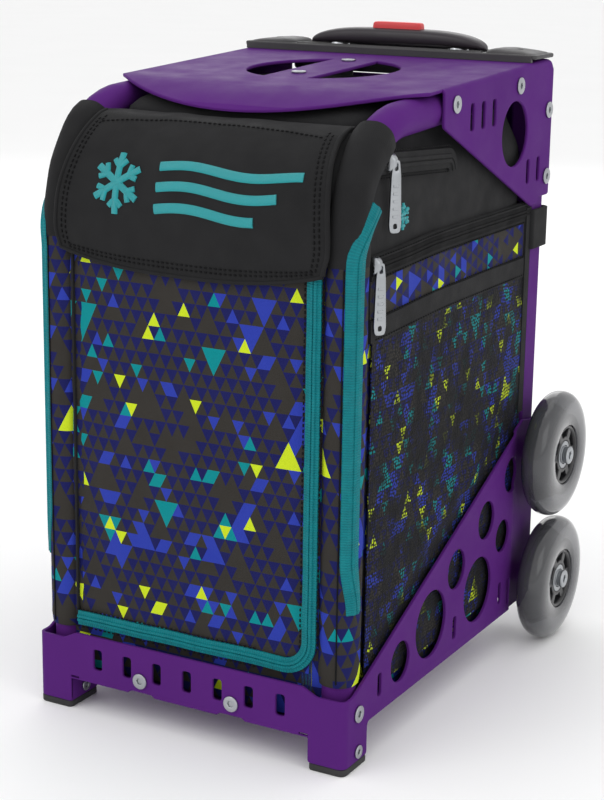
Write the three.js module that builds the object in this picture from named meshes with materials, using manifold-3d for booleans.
// Wheeled skate bag: a bent-sheet seat frame with two front tubes, two rear posts, a telescopic
// handle, four wheels and a fabric insert bag. Millimetres, +Z up, -Y is the front.
// Inside this file Y runs backwards from the face of the front lip, and the whole group is
// shifted at the end, so that the origin lies on the ground under the middle of the object.
import * as THREE from 'three';
import * as BufferGeometryUtils from 'three/addons/utils/BufferGeometryUtils.js';
import Module from 'manifold-3d';

const wasm = await Module();
wasm.setup();

// ---------------------------------------------------------------- driving dimensions
const gap = 0.35; // clearance between parts that touch
const sheet = 2.5; // thickness of the bent sheet
const frameHalf = 127.5; // outer faces of the side plates
const seatHalf = 126.35; // outer faces of the seat's gussets
const frameDepth = 326.8; // front lip to the rear faces of the posts
const seatHeight = 463.75; // top of the seat at its rear edge
const seatSlope = 0.05; // the seat falls towards the front
const seatFront = 57; // middle of the seat's curved front edge
const seatCorner = 112; // where the curved edge meets the sides
const waterfall = 11; // how far the front edge is rolled down
const rollStart = 110;
const lipTop = 60;
const lipCornerTop = 54.6;
const lipBottom = 23.8;
const plateBottom = 29.1;
const plateSlope = 0.446; // slanted upper edge of a side plate
const legWidth = 28.6;
const legDepth = 33.5;
const footHeight = 5;
const tubeX = 111.5;
const tubeRadius = 12;
const tubeBore = 10.2;
const tubeFront = 20; // centre of the upright stretch
const tubeTop = 436.4; // centre of the level stretch
const tubeBend = 72;
const tubeBendSteps = 8;
const postInner = 102.3;
const postOuter = 122.3;
const postFront = 302.8;
const postWall = 2;
const wheelRadius = 50;
const wheelX = 146; // mid-plane of each wheel
const wheels = [
  { name: 'lower', y: 319, z: 50 },
  { name: 'upper', y: 317, z: 154.6 },
];
const handleX = 52;
const handleY = 312.5;
const gripBottom = 467.9;
const gripTop = 481;
const gripHalf = 76;
const gripFlatHalf = 32; // the middle of its top, before the round shoulders
const gripDepth = 10.5;
const buttonHalf = 21;
const buttonDepth = 5;
const buttonBottom = 477.8;
const bagHalf = 121.5;
const bagRear = 298;
const bagBottom = 32;
const bagWall = 3;
const bagFront = 11;
const bagSleeveInner = 96.8; // the bag's body between the two sleeves
const flapAxis = { y: 58, z: 430 };
const flapFace = 2.4;
const flapBottom = 330;
const flapWidestHalf = 106.5;
const flapTopHalf = 97;

// ---------------------------------------------------------------- materials
const paint = { color: 0x54266f, roughness: 0.45, metalness: 0.3 };
const blackPlastic = { color: 0x1b1b1d, roughness: 0.55, metalness: 0 };
const softGrip = { color: 0x161618, roughness: 0.5, metalness: 0 };
const redPlastic = { color: 0xc8403f, roughness: 0.45, metalness: 0 };
const rubber = { color: 0x141414, roughness: 0.85, metalness: 0 };
const steel = { color: 0xb9bcc0, roughness: 0.3, metalness: 1 };
const alloy = { color: 0x9fa2a8, roughness: 0.4, metalness: 0.9 };
const urethane = { color: 0x55565a, roughness: 0.2, metalness: 0 };
const blackCloth = { color: 0x1a1a1c, roughness: 0.9, metalness: 0 };
const printedCloth = { color: 0x1d2466, roughness: 0.9, metalness: 0 };
const meshCloth = { color: 0x101114, roughness: 0.9, metalness: 0 };
const board = { color: 0x222222, roughness: 0.7, metalness: 0 };

// ---------------------------------------------------------------- shape helpers
const group = new THREE.Group();
const axisX = new THREE.Vector3(1, 0, 0);
const axisY = new THREE.Vector3(0, 1, 0);
const axisZ = new THREE.Vector3(0, 0, 1);
const sides = [['left', -1], ['right', 1]];

function add(name, geometry, finish) {
  const mesh = new THREE.Mesh(geometry, new THREE.MeshStandardMaterial(finish));
  mesh.name = name;
  group.add(mesh);
  return mesh;
}

function solid(geometry) {
  const plain = geometry.clone();
  plain.deleteAttribute('normal');
  plain.deleteAttribute('uv');
  const merged = BufferGeometryUtils.mergeVertices(plain, 1e-4);
  return new wasm.Manifold(new wasm.Mesh({
    numProp: 3,
    vertProperties: Float32Array.from(merged.attributes.position.array),
    triVerts: Uint32Array.from(merged.index.array),
  }));
}

function surface(manifold) {
  const mesh = manifold.getMesh();
  const geometry = new THREE.BufferGeometry();
  geometry.setAttribute('position', new THREE.BufferAttribute(mesh.vertProperties, 3));
  geometry.setIndex(new THREE.BufferAttribute(mesh.triVerts, 1));
  geometry.computeVertexNormals();
  return geometry;
}

const join = (...parts) => parts.reduce((whole, part) => whole.add(part));
const cut = (whole, ...tools) => tools.reduce((rest, tool) => rest.subtract(tool), whole);

function box(x, y, z) {
  const geometry = new THREE.BoxGeometry(x[1] - x[0], y[1] - y[0], z[1] - z[0]);
  geometry.translate((x[0] + x[1]) / 2, (y[0] + y[1]) / 2, (z[0] + z[1]) / 2);
  return solid(geometry);
}

function cylinder(axis, radius, from, to, segments = 24) {
  const start = new THREE.Vector3(...from);
  const end = new THREE.Vector3(...to);
  const geometry = new THREE.CylinderGeometry(radius, radius, start.distanceTo(end), segments);
  if (axis === 'x') geometry.rotateZ(Math.PI / 2);
  if (axis === 'z') geometry.rotateX(Math.PI / 2);
  geometry.translate(...start.add(end).multiplyScalar(0.5).toArray());
  return solid(geometry);
}

function extrusion(shape, depth, curveSegments) {
  return new THREE.ExtrudeGeometry(shape, { depth, bevelEnabled: false, curveSegments });
}

// Extrudes an outline drawn in (Y, Z) along X.
function acrossX(shape, x0, x1, curveSegments = 10) {
  const geometry = extrusion(shape, x1 - x0, curveSegments);
  geometry.applyMatrix4(new THREE.Matrix4().makeBasis(axisY, axisZ, axisX));
  geometry.translate(x0, 0, 0);
  return solid(geometry);
}

// Extrudes an outline drawn in (X, Z) along Y.
function acrossY(shape, y0, y1, curveSegments = 10) {
  const geometry = extrusion(shape, y1 - y0, curveSegments);
  geometry.applyMatrix4(new THREE.Matrix4().makeBasis(axisX, axisZ, axisY.clone().negate()));
  geometry.translate(0, y1, 0);
  return solid(geometry);
}

// Extrudes an outline drawn in (X, Y) along Z.
function acrossZ(shape, z0, z1, curveSegments = 10) {
  const geometry = extrusion(shape, z1 - z0, curveSegments);
  geometry.translate(0, 0, z0);
  return solid(geometry);
}

function outline(points) {
  return new THREE.Shape(points.map(([a, b]) => new THREE.Vector2(a, b)));
}

// Points on an arc, both ends included.
function arc(a, b, radius, from, to, steps) {
  const angle = (n) => from + ((to - from) * n) / steps;
  return Array.from({ length: steps + 1 }, (_, n) => [
    a + radius * Math.cos(angle(n)), b + radius * Math.sin(angle(n)),
  ]);
}

function rounded(a, b, radius, steps = 3) {
  const quarter = Math.PI / 2;
  return outline([
    ...arc(a[1] - radius, b[0] + radius, radius, -quarter, 0, steps),
    ...arc(a[1] - radius, b[1] - radius, radius, 0, quarter, steps),
    ...arc(a[0] + radius, b[1] - radius, radius, quarter, 2 * quarter, steps),
    ...arc(a[0] + radius, b[0] + radius, radius, 2 * quarter, 3 * quarter, steps),
  ]);
}

// An upright slot with round ends, centred on (a, b).
function slot(a, b, width, height) {
  const radius = width / 2;
  const straight = height / 2 - radius;
  return outline([
    ...arc(a, b + straight, radius, 0, Math.PI, 5),
    ...arc(a, b - straight, radius, Math.PI, 2 * Math.PI, 5),
  ]);
}

function disc(a, b, radius, steps = 18) {
  return outline(arc(a, b, radius, 0, 2 * Math.PI, steps).slice(0, -1));
}

// ---------------------------------------------------------------- seat panel with its gussets
const seatZ = (y) => {
  const roll = Math.max(0, (rollStart - y) / (rollStart - seatFront));
  return seatHeight - seatSlope * (frameDepth - y) - waterfall * roll * roll;
};

function seatPanel() {
  const steps = [55, 64, 73, 83, 95, rollStart, frameDepth];
  const top = steps.map((y) => [y, seatZ(y)]);
  const underside = steps.map((y) => [y, seatZ(y) - sheet]).reverse();
  const rolled = acrossX(outline([...top, ...underside]), -seatHalf, seatHalf);

  const plan = new THREE.Shape();
  plan.moveTo(seatHalf, frameDepth);
  plan.lineTo(88, frameDepth);
  plan.lineTo(88, 296);
  plan.lineTo(-88, 296);
  plan.lineTo(-88, frameDepth);
  plan.lineTo(-seatHalf, frameDepth);
  plan.lineTo(-seatHalf, seatCorner);
  plan.bezierCurveTo(-seatHalf, seatCorner - 12, -70, seatFront, 0, seatFront);
  plan.bezierCurveTo(70, seatFront, seatHalf, seatCorner - 12, seatHalf, seatCorner);
  plan.closePath();
  const blank = acrossZ(plan, 400, 500, 8);

  const bar = box([-22, 10], [120, 280], [400, 500]);
  const handHoles = acrossZ(disc(-4, 197, 57, 36), 400, 500).subtract(bar);
  let seat = rolled.intersect(blank).subtract(handHoles);

  for (const [, side] of sides) {
    const gusset = outline([
      [130.2, seatZ(130.2) - 0.2], [130.2, 427.7], [293, 354], [303, 354], [308, 359.2],
      [frameDepth, 359.2], [frameDepth, 455.4], [317.4, seatZ(317.4) - 0.2],
    ]);
    const cuts = [
      disc(255.4, 412.1, 24.2, 24),
      ...[0, 1, 2].map((n) => slot(176.9 + 19.2 * n, 431.2, 7.4, 19.4)),
      ...[0, 1].map((n) => slot(283.3 + 20 * n, 381.4, 7.4, 18.5)),
    ];
    gusset.holes.push(...cuts);
    const x = side > 0 ? [seatHalf - sheet, seatHalf] : [-seatHalf, sheet - seatHalf];
    seat = seat.add(acrossX(gusset, x[0], x[1]));
    const chamfer = outline([[316.4, 475], [frameDepth + 1, 475], [frameDepth + 1, 454.6]]);
    seat = seat.subtract(acrossX(chamfer, x[0] - 0.5, x[1] + 0.5));
  }
  return seat;
}
add('seat_panel', surface(seatPanel()), paint);

// ---------------------------------------------------------------- front lip with its two legs
const legInner = frameHalf - legWidth;

function frontLip() {
  const outer = rounded([-frameHalf, frameHalf], [0, 90], 6);
  outer.holes.push(rounded([-frameHalf + sheet, frameHalf - sheet], [sheet, 80], 3.5));
  const band = acrossZ(outer, footHeight + gap, lipTop);
  const keepSide = outline([
    [-1, 0], [legDepth, 0], [legDepth, 60 + plateSlope * 4], [18, 57], [12.6, lipCornerTop],
    [5, lipCornerTop], [5, 70], [-1, 70],
  ]);
  const step = new THREE.Shape();
  step.moveTo(-frameHalf - 1, 0);
  step.lineTo(frameHalf + 1, 0);
  step.lineTo(frameHalf + 1, lipCornerTop);
  step.lineTo(104, lipCornerTop);
  step.bezierCurveTo(100, lipCornerTop, 100, lipTop, 96, lipTop);
  step.lineTo(-96, lipTop);
  step.bezierCurveTo(-100, lipTop, -100, lipCornerTop, -104, lipCornerTop);
  step.lineTo(-frameHalf - 1, lipCornerTop);
  step.closePath();
  const front = acrossY(step, -1, 6, 4).add(box([-200, 200], [6, 100], [0, 100]));

  let lip = band.intersect(acrossX(keepSide, -200, 200)).intersect(front);
  lip = lip.subtract(box([-legInner, legInner], [-1, 6], [0, lipBottom]));
  for (let n = -3; n <= 3; n += 1) {
    lip = lip.subtract(acrossY(slot(0.95 + 25.33 * n, 42.6, 7.4, 16), -1, 4));
  }
  for (const [, side] of sides) {
    lip = lip.subtract(acrossY(disc(38 * side, 22.8, 8), -1, 4));
    const x = [side * legInner, side * (legInner + sheet)].sort((a, b) => a - b);
    lip = lip.add(box(x, [0.5, legDepth], [footHeight + gap, lipBottom - 0.4]));
  }
  return lip;
}
add('front_lip', surface(frontLip()), paint);

// ---------------------------------------------------------------- side plates
const dishStart = 281;
const dishEnd = 288;
const dishOuter = postOuter + 0.3 + sheet;

function sidePlate(side) {
  const edge = (y) => 49 + plateSlope * y;
  const plateFront = legDepth + gap;
  const whole = outline([
    [plateFront, plateBottom], [frameDepth, plateBottom], [frameDepth, 178], [303, edge(303)],
    [plateFront, edge(plateFront)],
  ]);
  whole.holes.push(
    slot(51.2, 50.2, 6, 17), slot(175.7, 50, 6, 17.8), slot(261.1, 50.1, 6, 17.7),
    disc(133.4, 67.1, 25.5, 24), disc(216.8, 67.4, 25.5, 24),
    disc(83.5, 55.8, 15), disc(176, 96.3, 15.3), disc(229.1, 119.6, 15),
    disc(261, 147, 13), disc(262, 97.5, 13),
  );
  const flat = acrossX(whole, frameHalf - sheet, frameHalf)
    .intersect(box([0, 200], [0, dishStart], [0, 300]));
  const dished = outline([
    [dishEnd - 1, plateBottom], [frameDepth, plateBottom], [frameDepth, 178], [303, edge(303)],
    [dishEnd - 1, edge(dishEnd - 1)],
  ]);
  let rear = acrossX(dished, dishOuter - sheet, dishOuter);
  for (const wheel of wheels) {
    rear = rear.add(acrossX(disc(wheel.y, wheel.z, 14), dishOuter - sheet, dishOuter));
  }
  for (const wheel of wheels) {
    rear = rear.subtract(cylinder('x', 4.5, [100, wheel.y, wheel.z], [140, wheel.y, wheel.z], 12));
  }
  const joggle = acrossZ(outline([
    [frameHalf - sheet, dishStart - 1], [frameHalf, dishStart - 1], [frameHalf, dishStart],
    [dishOuter, dishEnd], [dishOuter - sheet, dishEnd], [dishOuter - sheet, dishEnd - 1],
    [frameHalf - sheet, dishStart],
  ]), plateBottom, 300);
  const belowEdge = acrossX(outline([
    [270, plateBottom], [frameDepth, plateBottom], [frameDepth, edge(frameDepth)], [270, edge(270)],
  ]), 0, 200);
  const plate = join(flat, joggle.intersect(belowEdge), rear);
  return side > 0 ? plate : plate.mirror([1, 0, 0]);
}
for (const [name, side] of sides) {
  add(`side_plate_${name}`, surface(sidePlate(side)), paint);
}

// ---------------------------------------------------------------- feet, floor, tubes and posts
for (const [name, side] of sides) {
  const pad = rounded([legInner + 0.4, frameHalf - 0.3], [0.3, legDepth + 2], 4);
  const plug = rounded([legInner + sheet + gap, frameHalf - sheet - gap], [sheet + gap, legDepth], 3);
  const foot = acrossZ(pad, 0, footHeight).add(acrossZ(plug, footHeight - 1, 22, 3));
  add(`foot_${name}`, surface(side > 0 ? foot : foot.mirror([1, 0, 0])), rubber);
}

const floorX = frameHalf - sheet - gap;
const floorPlan = outline([
  [-96, 2.9], [96, 2.9], [96, 37], [floorX, 37], [floorX, 280], [postInner - 1, 280],
  [postInner - 1, 300], [1 - postInner, 300], [1 - postInner, 280], [-floorX, 280], [-floorX, 37],
  [-96, 37],
]);
add('floor_panel', surface(acrossZ(floorPlan, plateBottom - 1.2, plateBottom + 1)), paint);

// Front tube: upright behind the lip, a quarter bend, then level under the seat. The stations
// along it are one straight stretch, the steps of the bend, and the other straight stretch.
class TubeRoute extends THREE.Curve {
  constructor(x, reach) {
    super();
    const bendZ = tubeTop - tubeBend;
    const bendY = tubeFront + tubeBend;
    this.stations = [
      [tubeFront, plateBottom - reach],
      ...arc(bendY, bendZ, tubeBend, Math.PI, Math.PI / 2, tubeBendSteps),
      [postFront - 1 + reach, tubeTop + seatSlope * (postFront - bendY)],
    ].map(([y, z]) => new THREE.Vector3(x, y, z));
  }

  getPoint(t, target = new THREE.Vector3()) {
    const place = t * (this.stations.length - 1);
    const index = Math.min(Math.floor(place), this.stations.length - 2);
    return target.lerpVectors(this.stations[index], this.stations[index + 1], place - index);
  }

  getPointAt(u, target) {
    return this.getPoint(u, target);
  }

  getTangentAt(u, target) {
    return this.getTangent(u, target);
  }
}

function tubeRun(x, radius, reach) {
  return solid(new THREE.ExtrudeGeometry(disc(0, 0, radius, 14), {
    steps: tubeBendSteps + 2, extrudePath: new TubeRoute(x, reach), bevelEnabled: false,
  }));
}

for (const [name, side] of sides) {
  const x = tubeX * side;
  const tube = tubeRun(x, tubeRadius, 0).subtract(tubeRun(x, tubeBore, 1));
  add(`front_tube_${name}`, surface(tube), paint);
}

for (const [name, side] of sides) {
  const section = rounded([postInner, postOuter], [postFront, frameDepth], 2.5, 2);
  section.holes.push(rounded(
    [postInner + postWall, postOuter - postWall], [postFront + postWall, frameDepth - postWall], 1, 1,
  ));
  let post = acrossZ(section, plateBottom, 457);
  for (const wheel of wheels) {
    post = post.subtract(cylinder('x', 4.5, [90, wheel.y, wheel.z], [140, wheel.y, wheel.z], 12));
  }
  add(`rear_post_${name}`, surface(side > 0 ? post : post.mirror([1, 0, 0])), paint);
}

const barHalf = postInner - gap;
for (const [name, low, high] of [['upper', 404, 444], ['lower', 78, 118]]) {
  const bar = box([-barHalf, barHalf], [frameDepth - sheet, frameDepth], [low, high]);
  add(`rear_crossbar_${name}`, surface(bar), paint);
}

// ---------------------------------------------------------------- wheels
function tyre() {
  const inner = 24;
  const half = 12;
  const points = [[inner, -10.5]];
  for (let step = 0; step <= 6; step += 1) {
    const angle = -Math.PI / 2 + (Math.PI * step) / 6;
    points.push([wheelRadius - half * 1.35 + half * 1.35 * Math.cos(angle), half * Math.sin(angle)]);
  }
  points.push([inner, 10.5], [inner, -10.5]);
  const profile = points.map(([r, x]) => new THREE.Vector2(r, x));
  const geometry = new THREE.LatheGeometry(profile, 28);
  geometry.rotateZ(-Math.PI / 2);
  return solid(geometry);
}

function core() {
  const rim = disc(0, 0, 23.7, 30);
  rim.holes.push(disc(0, 0, 11.3, 20));
  for (let n = 0; n < 6; n += 1) {
    const middle = (n * Math.PI) / 3;
    rim.holes.push(outline([
      ...arc(0, 0, 20.6, middle - 0.4, middle + 0.4, 4),
      ...arc(0, 0, 14.6, middle + 0.34, middle - 0.34, 3),
    ]));
  }
  return acrossX(rim, -9, 9);
}

function ring(outer, inner, x0, x1, segments) {
  const shell = cylinder('x', outer, [x0, 0, 0], [x1, 0, 0], segments);
  return shell.subtract(cylinder('x', inner, [x0 - 1, 0, 0], [x1 + 1, 0, 0], segments));
}

for (const [sideName, side] of sides) {
  for (const wheel of wheels) {
    const label = `${wheel.name}_${sideName}`;
    const put = (name, body, finish) => {
      const mesh = add(`${name}_${label}`, surface(side > 0 ? body : body.mirror([1, 0, 0])), finish);
      mesh.position.set(wheelX * side, wheel.y, wheel.z);
    };
    put('tyre', tyre(), urethane);
    put('wheel_core', core(), blackPlastic);
    put('bearing_outer', ring(11, 4.4, 3.4, 10.4, 16), steel);
    put('bearing_inner', ring(11, 4.4, -10.4, -3.4, 16), steel);
    const nut = [postInner - wheelX - 6.4, postInner - wheelX - gap];
    const bolt = join(
      cylinder('x', 4, [nut[0] - 2, 0, 0], [11.5, 0, 0], 12),
      cylinder('x', 7.2, [10.8, 0, 0], [13.9, 0, 0], 16),
      cylinder('x', 7.2, [nut[0], 0, 0], [nut[1], 0, 0], 6),
    );
    put('axle', bolt, steel);
  }
}

// ---------------------------------------------------------------- telescopic handle
function hollowTube(name, radius, wall, z0, z1, finish) {
  for (const [sideName, side] of sides) {
    const x = handleX * side;
    const tube = cylinder('z', radius, [x, handleY, z0], [x, handleY, z1], 16)
      .subtract(cylinder('z', radius - wall, [x, handleY, z0 - 1], [x, handleY, z1 + 1], 16));
    add(`${name}_${sideName}`, surface(tube), finish);
  }
}
hollowTube('handle_guide', 11.2, 1.2, 36, 457, blackPlastic);
hollowTube('handle_middle', 9.6, 1.2, 40, 462, alloy);
hollowTube('handle_inner', 8, 1.2, 44, gripBottom - gap, alloy);

function grip() {
  const half = gripHalf;
  const shape = new THREE.Shape();
  shape.moveTo(-half, gripBottom);
  shape.lineTo(half, gripBottom);
  shape.bezierCurveTo(half - 8, gripTop - 4, half - 26, gripTop - 1.4, gripFlatHalf, gripTop);
  shape.lineTo(-gripFlatHalf, gripTop);
  shape.bezierCurveTo(26 - half, gripTop - 1.4, 8 - half, gripTop - 4, -half, gripBottom);
  const bar = acrossY(shape, handleY - gripDepth, handleY + gripDepth, 6);
  const halfSlot = { x: buttonHalf + 0.5, y: buttonDepth + 0.5 };
  return bar.subtract(box(
    [-halfSlot.x, halfSlot.x], [handleY - halfSlot.y, handleY + halfSlot.y], [474, 490],
  ));
}
add('handle_grip', surface(grip()), softGrip);

function buttonLayer(inset, from, to) {
  const half = buttonHalf - 2 * inset;
  const deep = buttonDepth - inset;
  return box([-half, half], [handleY - deep, handleY + deep], [from, to]);
}
const button = buttonLayer(0, buttonBottom, 485).add(buttonLayer(1, 484, 486));
add('release_button', surface(button), redPlastic);

function rearCap() {
  const bottom = seatHeight + 0.4;
  const plate = box([-seatHalf, seatHalf], [287.5, 328.5], [bottom, bottom + 3.2]);
  const opening = box([-81, 81], [299.6, 325.4], [400, 500]);
  const ear = outline([
    [79, bottom + 1], [79, bottom + 3.5], [88, bottom + 6.2], [100, bottom + 6.8], [116, bottom + 5.8],
    [seatHalf, bottom + 3.4], [seatHalf, bottom + 1],
  ]);
  const right = acrossY(ear, 297, 328.5);
  return join(plate, right, right.mirror([1, 0, 0])).subtract(opening);
}
add('rear_cap', surface(rearCap()), blackPlastic);

// ---------------------------------------------------------------- screws of the front lip
for (const [name, side] of sides) {
  const x = 38 * side;
  const head = cylinder('y', 5.2, [x, -1.9, 34.8], [x, -gap, 34.8], 20);
  add(`lip_screw_${name}`, surface(head), steel);
}

// ---------------------------------------------------------------- fabric insert bag
const bagTop = 428;
const shoulder = 422;

function bagShell() {
  const wide = (inset) => acrossX(outline([
    [36.4 + inset, bagBottom + inset], [bagRear - inset, bagBottom + inset],
    [bagRear - inset, shoulder - inset], [78.5 + inset, shoulder - inset], [69.5 + inset, 418.6 - inset],
    [50.5 + inset, 405.6 - inset], [36.4 + inset, 384 - inset],
  ]), inset - bagHalf, bagHalf - inset);
  const narrow = (inset) => acrossX(outline([
    [bagFront + inset, bagBottom + inset], [bagRear - inset, bagBottom + inset],
    [bagRear - inset, bagTop - inset],
    [57 + inset, bagTop - inset], [22 + inset, 408 - inset], [bagFront + inset, 386],
  ]), inset - bagSleeveInner, bagSleeveInner - inset);
  const outer = wide(0).add(narrow(0));
  const inner = wide(bagWall).add(narrow(bagWall));
  const doorway = box([-86, 86], [0, 30], [76, 336]);
  return cut(outer, inner, doorway);
}
add('bag_shell', surface(bagShell()), printedCloth);
const doorPlan = rounded([-94, 94], [66, 342], 14);
add('bag_door', surface(acrossY(doorPlan, 7.4, bagFront - gap)), printedCloth);
add('bag_base_board', surface(box([-114, 114], [42, 292], [36, 39])), board);

for (const [name, side] of sides) {
  const sleeve = rounded([97.2, 124.6], [5.9, 35.6], 9);
  sleeve.holes.push(disc(tubeX, tubeFront, tubeRadius + 0.5));
  const body = acrossZ(sleeve, 63, tubeTop - tubeBend - 0.4);
  add(`tube_sleeve_${name}`, surface(side > 0 ? body : body.mirror([1, 0, 0])), printedCloth);

  const pocket = acrossX(rounded([40, 278], [46, 338], 6), bagHalf + gap, 124.6);
  add(`mesh_pocket_${name}`, surface(side > 0 ? pocket : pocket.mirror([1, 0, 0])), meshCloth);

  const loop = rounded([postInner - 1.9, postOuter + 1.9], [postFront - 1.9, frameDepth + 1.9], 3);
  loop.holes.push(rounded([postInner - gap, postOuter + gap], [postFront - gap, frameDepth + gap], 2.2));
  const strap = acrossZ(loop, 319, 350);
  add(`post_strap_${name}`, surface(side > 0 ? strap : strap.mirror([1, 0, 0])), blackCloth);
}

function flap() {
  const thickness = 3;
  const outer = [
    [flapFace, flapBottom], [flapFace, 370], [5.5, 390], [13, 406], [26, 420.5], [41, 429.2],
    [flapAxis.y, flapAxis.z + 1.6],
  ];
  const inner = [
    [flapAxis.y, flapAxis.z - 1.2], [42.3, 426.4], [28, 418], [15.6, 404.3], [8.4, 389.2],
    [flapFace + thickness, 369.6], [flapFace + thickness, flapBottom],
  ];
  const curved = acrossX(outline([...outer, ...inner]), -110, 110);
  const front = new THREE.Shape();
  front.moveTo(-flapTopHalf, 440);
  front.lineTo(-flapTopHalf - 1, 396);
  front.lineTo(-flapWidestHalf, 372);
  front.lineTo(-flapWidestHalf, 360);
  front.quadraticCurveTo(-104, 341, -90, 338);
  front.quadraticCurveTo(0, 324, 90, 338);
  front.quadraticCurveTo(104, 341, flapWidestHalf, 360);
  front.lineTo(flapWidestHalf, 372);
  front.lineTo(flapTopHalf + 1, 396);
  front.lineTo(flapTopHalf, 440);
  front.closePath();
  return curved.intersect(acrossY(front, -10, 80, 8));
}
add('bag_flap', surface(flap()), blackCloth);

// ---------------------------------------------------------------- zip sliders with their pulls
function zip(label, y, z, x) {
  const slider = box([x, x + 5.4], [y - 4, y + 4], [z - 4.5, z + 5])
    .subtract(box([x + 2.8, x + 6], [y - 1.4, y + 1.4], [z - 5, z - 1]));
  add(`zip_slider_${label}`, surface(slider), steel);
  const pull = slotPlate(y, z - 2.6, 8, 46);
  add(`zip_pull_${label}`, surface(acrossX(pull, x + 3.1, x + 5.1)), steel);
}

function slotPlate(y, top, width, length) {
  const half = width / 2;
  const plate = outline([
    [y - 1, top], [y + 1, top], [y + 1, top - 3],
    [y + half, top - 6], [y + half, top - length + 3], [y + half - 2, top - length],
    [y - half + 2, top - length], [y - half, top - length + 3], [y - half, top - 6], [y - 1, top - 3],
  ]);
  return plate;
}
zip('upper', 57, 412, bagHalf + gap);
zip('pocket', 38.5, 347, bagHalf + gap);

// ---------------------------------------------------------------- place the whole object
const front = -1.9;
const rear = wheels[0].y + wheelRadius;
group.position.y = -(front + rear) / 2;

export default group;
